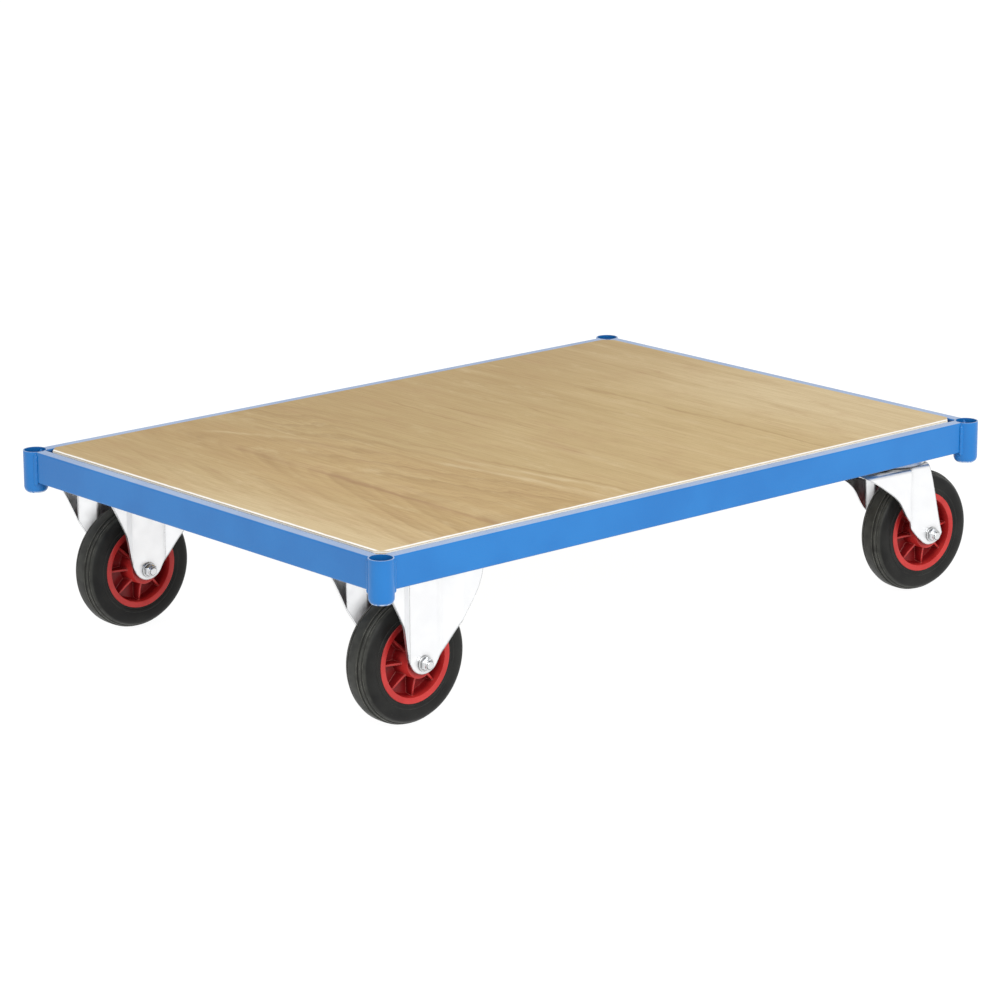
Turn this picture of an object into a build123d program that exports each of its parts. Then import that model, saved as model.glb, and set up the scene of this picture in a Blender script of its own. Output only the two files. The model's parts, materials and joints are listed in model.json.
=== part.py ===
"""Platform trolley: welded box-section frame with four corner sockets, plywood deck,
two fixed castors and two swivel castors with 200 mm rubber-tyred wheels.

Units are millimetres.  +X runs along the deck from the fixed castors to the swivel
castors, +Z is up, and the origin is on the floor under the middle of the footprint.
"""

import math
import os

from build123d import *

os.makedirs("parts", exist_ok=True)

# ---------------------------------------------------------------- driving dimensions
FRAME_LENGTH = 1246.0
FRAME_WIDTH = 862.0
FRAME_TOP = 290.0
RAIL_HEIGHT = 50.0
RAIL_WIDTH = 20.0
RAIL_WALL = 2.0
RAIL_CORNER = 3.0

SOCKET_SPAN_X = 1226.0
SOCKET_SPAN_Y = 850.0
SOCKET_RADIUS = 19.0
SOCKET_WALL = 2.0
SOCKET_DEPTH = 67.0
SWAGE_HEIGHT = 9.0
SWAGE_INSET = 4.5

WELD_LEG = 6.5
WELD_OVERRUN = 5.0
WELD_LEAN = 0.8
WELD_RISE = 0.7

DECK_LENGTH = 1202.0
DECK_WIDTH = 818.0
DECK_THICKNESS = 12.0
DECK_PROUD = 2.0
DECK_CORNER_CUT = 15.0
DECK_EDGE_ROUND = 0.8

CHANNEL_WIDTH = 44.0
CHANNEL_WALL = 3.0

WHEEL_RADIUS = 100.0
WHEEL_HALF_WIDTH = 25.0
RIM_RADIUS = 65.5
RIM_INNER_RADIUS = 56.0
RIM_HALF_WIDTH = 24.5
RIM_GROOVE_RADIUS = 61.0
RIM_GROOVE_HALF_WIDTH = 14.0
RIM_GROOVE_EDGE = 16.0
RECESS_RADIUS = 53.5
CENTRE_WEB_HALF = 3.5
HUB_RADIUS = 26.0
HUB_HALF_LENGTH = 36.0
HUB_BORE_RADIUS = 12.0
HUB_BREAK = 1.0
RIB_COUNT = 8
RIB_THICKNESS = 3.6
RIB_HUB_REACH = 24.0
RIB_RIM_REACH = 16.0

SLEEVE_RADIUS = 8.0
SLEEVE_BORE_RADIUS = 6.1
ROLLER_RADIUS = 1.85
ROLLER_PITCH_RADIUS = 10.0
ROLLER_HALF_LENGTH = 28.0
ROLLER_COUNT = 10
CAGE_WALL = 1.2
CAGE_HALF_LENGTH = 31.0
CAGE_PLAY = 0.15

AXLE_RADIUS = 6.0
AXLE_HOLE_RADIUS = 6.25
AXLE_HEAD_FLATS = 18.0
AXLE_HEAD_HEIGHT = 7.5
AXLE_WASHER_RADIUS = 12.0
AXLE_WASHER_THICKNESS = 2.2
AXLE_NUT_HEIGHT = 7.6
AXLE_NUT_COLLAR_HEIGHT = 2.6
AXLE_NUT_COLLAR_RADIUS = 7.8
AXLE_END_OVERRUN = 1.4

LEG_FACE = 45.0
LEG_SHEET = 3.5
LEG_BOTTOM = 84.0

FIXED_X = -497.0
FIXED_Y = 336.0
FIXED_PLATE_OFFSET = 2.0
FIXED_PLATE_LENGTH = 186.0
FIXED_PLATE_THICKNESS = 4.0
FIXED_HOLES_X = 140.0
FIXED_HOLES_Y = 80.0
FIXED_WEB_HALF = 30.0
FIXED_WING_START = 55.0
FIXED_WING_FACE = 67.0
FIXED_BEND = 7.0

SWIVEL_X = 525.0
SWIVEL_Y = 342.0
SWIVEL_TRAIL = 54.0
SWIVEL_REST_YAW = -5.0
SWIVEL_PLATE_LENGTH = 140.0
SWIVEL_PLATE_WIDTH = 110.0
SWIVEL_PLATE_THICKNESS = 4.5
SWIVEL_HOLES_X = 105.0
SWIVEL_HOLES_Y = 80.0
PLATE_CORNER = 10.0

CROWN_TOP = 222.0
CROWN_THICKNESS = 5.0
CROWN_HOLE_RADIUS = 14.0
FORK_WEB_END = 46.0
FORK_WING_START = 58.0
FORK_WING_FACE = 57.0
FORK_BEND = 6.0
FORK_LENGTH = 166.0
CROWN_BEND = 9.0
KING_PIN_RADIUS = 8.0
KING_HEAD_RADIUS = 12.0
KING_HEAD_HEIGHT = 4.0
KING_HEAD_ANGLE = 90.0
KING_NUT_FLATS = 24.0
KING_NUT_HEIGHT = 8.0
KING_PIN_END = 198.8
UPPER_TRACK_RADIUS = 36.0
UPPER_BALL_RADIUS = 4.0
UPPER_BALL_COUNT = 22
UPPER_RACE_GAP = 5.4
UPPER_RACE_HALF_WIDTH = 9.5
LOWER_TRACK_RADIUS = 19.0
LOWER_BALL_RADIUS = 3.0
LOWER_BALL_COUNT = 14
LOWER_RACE_GAP = 4.4
LOWER_RACE_THICKNESS = 4.0
LOWER_RACE_RADIUS = 25.0
BALL_PLAY = 0.2
DUST_RING_TOP_RADIUS = 49.0
DUST_RING_BOTTOM_RADIUS = 54.0
DUST_RING_WALL = 1.5
DUST_RING_GAP = 1.4

BOLT_RADIUS = 5.0
BOLT_HOLE_RADIUS = 5.5
BOLT_FLATS = 17.0
BOLT_HEAD_HEIGHT = 6.4
BOLT_OVERRUN = 2.5
NUT_HEIGHT = 8.4
WASHER_RADIUS = 10.5
WASHER_THICKNESS = 2.0

SCREW_ROWS_Y = (-320.0, -110.0, 110.0, 320.0)
SCREW_RADIUS = 2.4
SCREW_HEAD_RADIUS = 5.0
SCREW_HEAD_HEIGHT = 2.6
SCREW_TIP_DEPTH = 3.0

# Half of the tyre's outer profile: (across from its middle, radius), tread to bead.
TYRE_FACE = [
    (9.0, WHEEL_RADIUS),
    (10.2, 96.4),
    (12.0, 96.4),
    (12.8, 97.8),
    (15.6, 96.8),
    (16.6, 94.8),
    (19.4, 94.4),
    (22.8, 91.6),
    (WHEEL_HALF_WIDTH, 86.5),
    (WHEEL_HALF_WIDTH, 67.5),
]

# Edges of the castor legs seen from the side: (along, above the axle), foot to top.
BRACKET_FRONT_EDGE = [(25, 0), (33, 14), (56, 60), (80, 94), (93, 124), (95, 136)]
BRACKET_BACK_EDGE = [(-25, 0), (-33, 16), (-43, 40), (-59, 76), (-77, 112), (-91, 136)]
FORK_BACK_EDGE = [(22, 0), (15, 25), (-1, 94), (-10, 122)]
FORK_FRONT_EDGE = [
    (-22, -8),
    (-33, 2),
    (-52, 24),
    (-66, 42),
    (-83, 69),
    (-106, 88),
    (-131, 105),
    (-162, 122),
]

# ---------------------------------------------------------------- places worked out
# The swivel wheels trail out past the sockets, so the deck's middle sits a little
# to the -X side of the footprint's middle.
SOCKET_REACH = SOCKET_SPAN_X / 2 + SOCKET_RADIUS
WHEEL_REACH = SWIVEL_X + SWIVEL_TRAIL + WHEEL_RADIUS
DECK_X = (SOCKET_REACH - WHEEL_REACH) / 2

FRAME_BOTTOM = FRAME_TOP - RAIL_HEIGHT
DECK_TOP = FRAME_TOP + DECK_PROUD
DECK_UNDERSIDE = DECK_TOP - DECK_THICKNESS
CHANNEL_HEIGHT = DECK_UNDERSIDE - FRAME_BOTTOM
INNER_WIDTH = FRAME_WIDTH - 2 * RAIL_WIDTH

AXLE = Vector(0, 0, WHEEL_RADIUS)
AXLE_LINE = Axis(AXLE, (0, 1, 0))
LEG_INSIDE = LEG_FACE - LEG_SHEET

FIXED_PLATE_X = FIXED_X + FIXED_PLATE_OFFSET
FIXED_LINES = (FIXED_PLATE_X - FIXED_HOLES_X / 2, FIXED_PLATE_X + FIXED_HOLES_X / 2)
SWIVEL_LINES = (SWIVEL_X - SWIVEL_HOLES_X / 2, SWIVEL_X + SWIVEL_HOLES_X / 2)
CROSS_MEMBERS = {
    "cross_member_fixed_outer": (FIXED_LINES[0], FIXED_Y, FIXED_HOLES_Y),
    "cross_member_fixed_inner": (FIXED_LINES[1], FIXED_Y, FIXED_HOLES_Y),
    "cross_member_centre": (0.0, None, None),
    "cross_member_swivel_inner": (SWIVEL_LINES[0], SWIVEL_Y, SWIVEL_HOLES_Y),
    "cross_member_swivel_outer": (SWIVEL_LINES[1], SWIVEL_Y, SWIVEL_HOLES_Y),
}
SIDES = {"near": -1, "far": 1}
ENDS = {"fixed": -1, "swivel": 1}


def save(part, name):
    """Label a finished piece and write it as its own STEP file."""
    part.label = name
    export_step(part, f"parts/{name}.step")


def level(height, x=0.0, y=0.0):
    """A level plane whose origin is given from the middle of the deck."""
    return Plane((DECK_X + x, y, height))


def axle_plane(offset=0.0):
    """A plane across the axle; its X is forward, its Y is up and it faces -Y."""
    return Plane(AXLE + Vector(0, -offset, 0), x_dir=(1, 0, 0), z_dir=(0, -1, 0))


def radial_plane(turn=0.0):
    """A plane through the axle; its X runs along the axle and its Y points outward."""
    angle = math.radians(turn)
    return Plane(AXLE, x_dir=(0, 1, 0), z_dir=(math.cos(angle), 0, math.sin(angle)))


def both_ways(half):
    """A profile that is the same on both sides of its middle, from one half of it."""
    return [(-x, y) for x, y in reversed(half)] + [(x, y) for x, y in half]


# ---------------------------------------------------------------- frame rails
def rail(length, outer_face):
    """A box-section rail with ends mitred inward and notched round the sockets.

    The plane's X runs along the rail, its Y faces out of the frame and it is level.
    """
    half = length / 2
    with BuildPart() as box:
        with BuildSketch(outer_face):
            with BuildLine():
                Polyline(
                    (-half, 0),
                    (half, 0),
                    (half - RAIL_WIDTH, -RAIL_WIDTH),
                    (-half + RAIL_WIDTH, -RAIL_WIDTH),
                    close=True,
                )
            make_face()
        extrude(amount=RAIL_HEIGHT)
        fillet(box.edges().filter_by(Axis(outer_face.origin, outer_face.x_dir)), RAIL_CORNER)
        with BuildSketch(outer_face.offset(RAIL_WALL)):
            with Locations((0, -RAIL_WIDTH / 2)):
                Rectangle(length, RAIL_WIDTH - 2 * RAIL_WALL)
        extrude(amount=RAIL_HEIGHT - 2 * RAIL_WALL, mode=Mode.SUBTRACT)
        with BuildSketch(level(FRAME_BOTTOM)):
            with GridLocations(SOCKET_SPAN_X, SOCKET_SPAN_Y, 2, 2):
                Circle(SOCKET_RADIUS)
        extrude(amount=RAIL_HEIGHT, mode=Mode.SUBTRACT)
    return box.part


for side_name, side in SIDES.items():
    origin = level(FRAME_BOTTOM, y=side * FRAME_WIDTH / 2).origin
    save(rail(FRAME_LENGTH, Plane(origin, x_dir=(side, 0, 0))), f"frame_side_{side_name}")

for end_name, end in ENDS.items():
    origin = level(FRAME_BOTTOM, x=end * FRAME_LENGTH / 2).origin
    save(rail(FRAME_WIDTH, Plane(origin, x_dir=(0, -end, 0))), f"frame_end_{end_name}")

# ---------------------------------------------------------------- corner sockets
SOCKET_BOTTOM = FRAME_TOP - SOCKET_DEPTH
SWAGE_TOP = SOCKET_BOTTOM + SWAGE_HEIGHT
SOCKET_BORE = SOCKET_RADIUS - SOCKET_WALL


def corner_socket(x, y):
    """An upright tube, open at the top, with its bottom end swaged inward."""
    post = Plane(level(0, x, y).origin, x_dir=(1, 0, 0), z_dir=(0, -1, 0))
    with BuildPart() as tube:
        with BuildSketch(post):
            with BuildLine():
                Polyline(
                    (SOCKET_BORE, SWAGE_TOP),
                    (SOCKET_BORE, FRAME_TOP),
                    (SOCKET_RADIUS, FRAME_TOP),
                    (SOCKET_RADIUS, SWAGE_TOP),
                )
                outer_end = (SOCKET_RADIUS - SWAGE_INSET, SOCKET_BOTTOM)
                inner_end = (SOCKET_BORE - SWAGE_INSET, SOCKET_BOTTOM)
                TangentArc((SOCKET_RADIUS, SWAGE_TOP), outer_end, tangent=(0, -1))
                Line(outer_end, inner_end)
                TangentArc((SOCKET_BORE, SWAGE_TOP), inner_end, tangent=(0, -1))
            make_face()
        revolve(axis=Axis(post.origin, (0, 0, 1)))
    return tube.part


for end_name, end in ENDS.items():
    for side_name, side in SIDES.items():
        socket = corner_socket(end * SOCKET_SPAN_X / 2, side * SOCKET_SPAN_Y / 2)
        save(socket, f"socket_{end_name}_{side_name}")


def bead_outline(foot, along, outward):
    """Corners of a fillet bead whose foot is where the tube leaves a rail's face."""
    foot = Vector(*foot)
    along = Vector(*along) * WELD_LEG
    outward = Vector(*outward) * WELD_LEG
    return [foot - along, foot + along, foot + along * WELD_LEAN + outward * WELD_RISE]


side_gap = FRAME_WIDTH / 2 - SOCKET_SPAN_Y / 2
end_gap = FRAME_LENGTH / 2 - SOCKET_SPAN_X / 2
side_foot = SOCKET_SPAN_X / 2 - math.sqrt(SOCKET_RADIUS**2 - side_gap**2)
end_foot = SOCKET_SPAN_Y / 2 - math.sqrt(SOCKET_RADIUS**2 - end_gap**2)

with BuildPart() as socket_welds:
    with BuildSketch(level(FRAME_BOTTOM - WELD_OVERRUN)):
        for end in ENDS.values():
            for side in SIDES.values():
                side_corner = (end * side_foot, side * FRAME_WIDTH / 2)
                end_corner = (end * FRAME_LENGTH / 2, side * end_foot)
                for outline in (
                    bead_outline(side_corner, (end, 0), (0, side)),
                    bead_outline(end_corner, (0, side), (end, 0)),
                ):
                    with BuildLine():
                        Polyline(*outline, close=True)
                    make_face()
        with GridLocations(SOCKET_SPAN_X, SOCKET_SPAN_Y, 2, 2):
            Circle(SOCKET_RADIUS, mode=Mode.SUBTRACT)
    extrude(amount=RAIL_HEIGHT + WELD_OVERRUN - RAIL_CORNER)
save(socket_welds.part, "socket_welds")

# ---------------------------------------------------------------- cross members
screw_spots = [(place[0], y) for place in CROSS_MEMBERS.values() for y in SCREW_ROWS_Y]

for name, (x, castor_y, hole_span) in CROSS_MEMBERS.items():
    end_face = Plane(
        level(FRAME_BOTTOM, x, INNER_WIDTH / 2).origin, x_dir=(1, 0, 0), z_dir=(0, -1, 0)
    )
    with BuildPart() as channel:
        with BuildSketch(end_face):
            Rectangle(CHANNEL_WIDTH, CHANNEL_HEIGHT, align=(Align.CENTER, Align.MIN))
            with Locations((CHANNEL_WALL, CHANNEL_WALL)):
                Rectangle(
                    CHANNEL_WIDTH,
                    CHANNEL_HEIGHT - 2 * CHANNEL_WALL,
                    align=(Align.CENTER, Align.MIN),
                    mode=Mode.SUBTRACT,
                )
        extrude(amount=INNER_WIDTH)
        with BuildSketch(level(DECK_UNDERSIDE - CHANNEL_WALL, x)):
            with Locations(*[(0, y) for y in SCREW_ROWS_Y]):
                Circle(SCREW_RADIUS)
        extrude(amount=CHANNEL_WALL, mode=Mode.SUBTRACT)
        if castor_y is not None:
            with BuildSketch(level(FRAME_BOTTOM, x)):
                for side in SIDES.values():
                    with Locations((0, side * castor_y)):
                        with GridLocations(0, hole_span, 1, 2):
                            Circle(BOLT_HOLE_RADIUS)
            extrude(amount=CHANNEL_WALL, mode=Mode.SUBTRACT)
    save(channel.part, name)

# ---------------------------------------------------------------- plywood deck
with BuildPart() as deck_panel:
    with BuildSketch(level(DECK_UNDERSIDE)) as deck_outline:
        Rectangle(DECK_LENGTH, DECK_WIDTH)
        chamfer(deck_outline.vertices(), DECK_CORNER_CUT)
    extrude(amount=DECK_THICKNESS)
    fillet(deck_panel.faces().sort_by(Axis.Z)[-1].edges(), DECK_EDGE_ROUND)
    with BuildSketch(level(DECK_UNDERSIDE)):
        with Locations(*screw_spots):
            Circle(SCREW_RADIUS)
    extrude(amount=DECK_THICKNESS - SCREW_TIP_DEPTH, mode=Mode.SUBTRACT)
save(deck_panel.part, "deck_panel")

SCREW_SEAT = DECK_UNDERSIDE - CHANNEL_WALL
with BuildPart() as deck_screws:
    with BuildSketch(level(SCREW_SEAT)):
        with Locations(*screw_spots):
            Circle(SCREW_RADIUS)
    extrude(amount=CHANNEL_WALL + DECK_THICKNESS - SCREW_TIP_DEPTH)
    with BuildSketch(level(SCREW_SEAT - SCREW_HEAD_HEIGHT)):
        with Locations(*screw_spots):
            Circle(SCREW_HEAD_RADIUS)
    extrude(amount=SCREW_HEAD_HEIGHT)
save(deck_screws.part, "deck_screws")

# ---------------------------------------------------------------- castor fasteners
NUT_SEAT = FRAME_BOTTOM + CHANNEL_WALL + WASHER_THICKNESS


def bolt_circle_spots(lines, castor_y, span):
    """Hole centres of the two castor plates at one end of the deck."""
    rows = [side * castor_y + half * span / 2 for side in (-1, 1) for half in (-1, 1)]
    return [(x, y) for x in lines for y in rows]


castor_holes = {
    FIXED_PLATE_THICKNESS: bolt_circle_spots(FIXED_LINES, FIXED_Y, FIXED_HOLES_Y),
    SWIVEL_PLATE_THICKNESS: bolt_circle_spots(SWIVEL_LINES, SWIVEL_Y, SWIVEL_HOLES_Y),
}
all_holes = [spot for spots in castor_holes.values() for spot in spots]

with BuildPart() as castor_bolts:
    for thickness, spots in castor_holes.items():
        seat = FRAME_BOTTOM - thickness
        with BuildSketch(level(seat - BOLT_HEAD_HEIGHT)):
            with Locations(*spots):
                RegularPolygon(BOLT_FLATS / 2, 6, major_radius=False)
        extrude(amount=BOLT_HEAD_HEIGHT)
        with BuildSketch(level(seat)):
            with Locations(*spots):
                Circle(BOLT_RADIUS)
        extrude(amount=NUT_SEAT + NUT_HEIGHT + BOLT_OVERRUN - seat)
save(castor_bolts.part, "castor_bolts")

with BuildPart() as castor_washers:
    with BuildSketch(level(NUT_SEAT - WASHER_THICKNESS)):
        with Locations(*all_holes):
            Circle(WASHER_RADIUS)
            Circle(BOLT_HOLE_RADIUS, mode=Mode.SUBTRACT)
    extrude(amount=WASHER_THICKNESS)
save(castor_washers.part, "castor_washers")

with BuildPart() as castor_nuts:
    with BuildSketch(level(NUT_SEAT)):
        with Locations(*all_holes):
            RegularPolygon(BOLT_FLATS / 2, 6, major_radius=False)
            Circle(BOLT_RADIUS, mode=Mode.SUBTRACT)
    extrude(amount=NUT_HEIGHT)
save(castor_nuts.part, "castor_nuts")

# ---------------------------------------------------------------- wheel set
# Every piece below is made once, with its axle over the origin, then moved to each castor.
RIM_SEAT = [
    (RIM_HALF_WIDTH, RIM_RADIUS),
    (RIM_GROOVE_EDGE, RIM_RADIUS),
    (RIM_GROOVE_HALF_WIDTH, RIM_GROOVE_RADIUS),
]

with BuildPart() as tyre:
    with BuildSketch(radial_plane()):
        with BuildLine():
            half = TYRE_FACE + RIM_SEAT
            Polyline(*half, *[(-x, y) for x, y in reversed(half)], close=True)
        make_face()
    revolve(axis=AXLE_LINE)

WHEEL_CENTRE_FACE = [
    (RIM_HALF_WIDTH, RIM_INNER_RADIUS + HUB_BREAK),
    (RIM_HALF_WIDTH - HUB_BREAK, RIM_INNER_RADIUS),
    (CENTRE_WEB_HALF, RECESS_RADIUS),
    (CENTRE_WEB_HALF, HUB_RADIUS + HUB_BREAK),
    (HUB_HALF_LENGTH - HUB_BREAK, HUB_RADIUS - HUB_BREAK),
    (HUB_HALF_LENGTH, HUB_RADIUS - 2 * HUB_BREAK),
    (HUB_HALF_LENGTH, HUB_BORE_RADIUS),
]

with BuildPart() as wheel_centre:
    with BuildSketch(radial_plane()):
        with BuildLine():
            half = list(reversed(RIM_SEAT)) + WHEEL_CENTRE_FACE
            Polyline(*half, *[(-x, y) for x, y in reversed(half)], close=True)
        make_face()
    revolve(axis=AXLE_LINE)
    for rib in range(RIB_COUNT):
        with BuildSketch(radial_plane(rib * 360 / RIB_COUNT)):
            with BuildLine():
                Polyline(
                    (-RIB_HUB_REACH, HUB_RADIUS - 2 * HUB_BREAK),
                    (RIB_HUB_REACH, HUB_RADIUS - 2 * HUB_BREAK),
                    (RIB_RIM_REACH, RIM_INNER_RADIUS),
                    (-RIB_RIM_REACH, RIM_INNER_RADIUS),
                    close=True,
                )
            make_face()
        extrude(amount=RIB_THICKNESS / 2, both=True)

with BuildPart() as bearing_sleeve:
    with BuildSketch(axle_plane(-LEG_INSIDE)):
        Circle(SLEEVE_RADIUS)
        Circle(SLEEVE_BORE_RADIUS, mode=Mode.SUBTRACT)
    extrude(amount=2 * LEG_INSIDE)

with BuildPart() as roller_bearing:
    with BuildSketch(axle_plane(-CAGE_HALF_LENGTH)):
        Circle(ROLLER_PITCH_RADIUS + CAGE_WALL / 2)
        Circle(ROLLER_PITCH_RADIUS - CAGE_WALL / 2, mode=Mode.SUBTRACT)
    extrude(amount=2 * CAGE_HALF_LENGTH)
    with BuildSketch(axle_plane(-ROLLER_HALF_LENGTH - CAGE_PLAY)):
        with PolarLocations(ROLLER_PITCH_RADIUS, ROLLER_COUNT):
            Circle(ROLLER_RADIUS + CAGE_PLAY)
    extrude(amount=2 * (ROLLER_HALF_LENGTH + CAGE_PLAY), mode=Mode.SUBTRACT)
    with BuildSketch(axle_plane(-ROLLER_HALF_LENGTH)):
        with PolarLocations(ROLLER_PITCH_RADIUS, ROLLER_COUNT):
            Circle(ROLLER_RADIUS)
    extrude(amount=2 * ROLLER_HALF_LENGTH)

WASHER_FACE = LEG_FACE + AXLE_WASHER_THICKNESS
NUT_FACE = WASHER_FACE + AXLE_NUT_HEIGHT
COLLAR_FACE = NUT_FACE + AXLE_NUT_COLLAR_HEIGHT
AXLE_END = COLLAR_FACE + AXLE_END_OVERRUN

with BuildPart() as axle_bolt:
    with BuildSketch(axle_plane(-WASHER_FACE - AXLE_HEAD_HEIGHT)):
        RegularPolygon(AXLE_HEAD_FLATS / 2, 6, major_radius=False)
    extrude(amount=AXLE_HEAD_HEIGHT)
    with BuildSketch(axle_plane(-WASHER_FACE)):
        Circle(AXLE_RADIUS)
    extrude(amount=WASHER_FACE + AXLE_END)
    chamfer(axle_bolt.faces().sort_by(Axis.Y)[0].edges(), AXLE_END_OVERRUN / 2)

with BuildPart() as axle_nut:
    for washer_start in (LEG_FACE, -WASHER_FACE):
        with BuildSketch(axle_plane(washer_start)):
            Circle(AXLE_WASHER_RADIUS)
            Circle(AXLE_HOLE_RADIUS, mode=Mode.SUBTRACT)
        extrude(amount=AXLE_WASHER_THICKNESS)
    with BuildSketch(axle_plane(WASHER_FACE)):
        RegularPolygon(AXLE_HEAD_FLATS / 2, 6, major_radius=False)
        Circle(AXLE_RADIUS, mode=Mode.SUBTRACT)
    extrude(amount=AXLE_NUT_HEIGHT)
    with BuildSketch(axle_plane(NUT_FACE)):
        Circle(AXLE_NUT_COLLAR_RADIUS)
        Circle(AXLE_RADIUS, mode=Mode.SUBTRACT)
    extrude(amount=AXLE_NUT_COLLAR_HEIGHT)

WHEEL_PIECES = {
    "tyre": tyre.part,
    "wheel_centre": wheel_centre.part,
    "roller_bearing": roller_bearing.part,
    "bearing_sleeve": bearing_sleeve.part,
    "axle_bolt": axle_bolt.part,
    "axle_nut": axle_nut.part,
}

# ---------------------------------------------------------------- fixed castor bracket
PLATE_UNDERSIDE = FRAME_BOTTOM - FIXED_PLATE_THICKNESS
FOOT_BOTTOM = (0, LEG_BOTTOM - WHEEL_RADIUS)


def leg_outline(front_edge, back_edge):
    """Side view of a castor leg: two curved edges, given from the bottom up, and a round foot."""
    Spline(*front_edge)
    Line(front_edge[-1], back_edge[-1])
    Spline(*back_edge)
    ThreePointArc(back_edge[0], FOOT_BOTTOM, front_edge[0])


# Seen from above, each leg is a narrow web beside the wheel; it flares out to two wings.
wing_tip = FIXED_PLATE_OFFSET + FIXED_PLATE_LENGTH / 2 + LEG_SHEET
LEG_SECTION = [
    (FIXED_WEB_HALF, LEG_FACE),
    (FIXED_WING_START, FIXED_WING_FACE),
    (wing_tip, FIXED_WING_FACE),
]

with BuildPart() as fixed_bracket:
    with BuildSketch(Plane.XY.offset(LEG_BOTTOM)) as plan:
        with BuildLine():
            near_side = [(x, -y) for x, y in both_ways(LEG_SECTION)]
            far_side = [(x, y) for x, y in reversed(both_ways(LEG_SECTION))]
            Polyline(*near_side, *far_side, close=True)
        make_face()
        inner_reach = FIXED_WING_START + FIXED_BEND
        folds = plan.vertices().filter_by_position(Axis.X, -inner_reach, inner_reach)
        fillet(folds, FIXED_BEND)
        offset(amount=-LEG_SHEET, kind=Kind.INTERSECTION, mode=Mode.SUBTRACT)
    extrude(amount=PLATE_UNDERSIDE - LEG_BOTTOM)
    with BuildSketch(axle_plane(-FIXED_WING_FACE)):
        with BuildLine():
            leg_outline(BRACKET_FRONT_EDGE, BRACKET_BACK_EDGE)
        make_face()
    extrude(amount=2 * FIXED_WING_FACE, mode=Mode.INTERSECT)
    with BuildSketch(axle_plane(-LEG_FACE)):
        Circle(AXLE_HOLE_RADIUS)
    extrude(amount=2 * LEG_FACE, mode=Mode.SUBTRACT)
    with BuildSketch(Plane((FIXED_PLATE_OFFSET, 0, PLATE_UNDERSIDE))):
        Rectangle(FIXED_PLATE_LENGTH, 2 * FIXED_WING_FACE)
        with GridLocations(FIXED_HOLES_X, FIXED_HOLES_Y, 2, 2):
            Circle(BOLT_HOLE_RADIUS, mode=Mode.SUBTRACT)
    extrude(amount=FIXED_PLATE_THICKNESS)
    plate_rims = fixed_bracket.edges().filter_by(Axis.X).group_by(Axis.Z)[-1]
    fillet(plate_rims, LEG_SHEET)

for side_name, side in SIDES.items():
    place = Location((DECK_X + FIXED_X, side * FIXED_Y, 0))
    for piece_name, piece in WHEEL_PIECES.items():
        save(piece.moved(place), f"{piece_name}_fixed_{side_name}")
    save(fixed_bracket.part.moved(place), f"bracket_fixed_{side_name}")

# ---------------------------------------------------------------- swivel head
# These pieces are made with the swivel axis over the origin.
PLATE_BOTTOM = FRAME_BOTTOM - SWIVEL_PLATE_THICKNESS
UPPER_BALL_HEIGHT = CROWN_TOP + UPPER_RACE_GAP / 2
UPPER_RACE_BOTTOM = CROWN_TOP + UPPER_RACE_GAP
CROWN_BOTTOM = CROWN_TOP - CROWN_THICKNESS
LOWER_BALL_HEIGHT = CROWN_BOTTOM - LOWER_RACE_GAP / 2
LOWER_RACE_TOP = CROWN_BOTTOM - LOWER_RACE_GAP
LOWER_RACE_BOTTOM = LOWER_RACE_TOP - LOWER_RACE_THICKNESS
KING_NUT_BOTTOM = LOWER_RACE_BOTTOM - KING_NUT_HEIGHT
upper_track = Location((0, 0, UPPER_BALL_HEIGHT))
lower_track = Location((0, 0, LOWER_BALL_HEIGHT))

with BuildPart() as swivel_plate:
    with BuildSketch(Plane.XY.offset(PLATE_BOTTOM)) as plate:
        Rectangle(SWIVEL_PLATE_LENGTH, SWIVEL_PLATE_WIDTH)
        fillet(plate.vertices(), PLATE_CORNER)
        with GridLocations(SWIVEL_HOLES_X, SWIVEL_HOLES_Y, 2, 2):
            Circle(BOLT_HOLE_RADIUS, mode=Mode.SUBTRACT)
    extrude(amount=SWIVEL_PLATE_THICKNESS)
    with BuildSketch(Plane.XY.offset(UPPER_RACE_BOTTOM)):
        Circle(UPPER_TRACK_RADIUS + UPPER_RACE_HALF_WIDTH)
        Circle(UPPER_TRACK_RADIUS - UPPER_RACE_HALF_WIDTH, mode=Mode.SUBTRACT)
    extrude(amount=PLATE_BOTTOM - UPPER_RACE_BOTTOM)
    with Locations(upper_track):
        Torus(UPPER_TRACK_RADIUS, UPPER_BALL_RADIUS + BALL_PLAY, mode=Mode.SUBTRACT)
    with Locations((0, 0, FRAME_BOTTOM)):
        CounterSinkHole(KING_PIN_RADIUS, KING_HEAD_RADIUS, counter_sink_angle=KING_HEAD_ANGLE)

with BuildPart() as king_pin:
    with BuildSketch(Plane.XY.offset(KING_PIN_END)):
        Circle(KING_PIN_RADIUS)
    extrude(amount=FRAME_BOTTOM - KING_PIN_END)
    with Locations((0, 0, FRAME_BOTTOM - KING_HEAD_HEIGHT / 2)):
        Cone(KING_PIN_RADIUS, KING_HEAD_RADIUS, KING_HEAD_HEIGHT)

with BuildPart() as lower_race:
    with BuildSketch(Plane.XY.offset(LOWER_RACE_BOTTOM)):
        Circle(LOWER_RACE_RADIUS)
        Circle(KING_PIN_RADIUS, mode=Mode.SUBTRACT)
    extrude(amount=LOWER_RACE_THICKNESS)
    with Locations(lower_track):
        Torus(LOWER_TRACK_RADIUS, LOWER_BALL_RADIUS + BALL_PLAY, mode=Mode.SUBTRACT)

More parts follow.
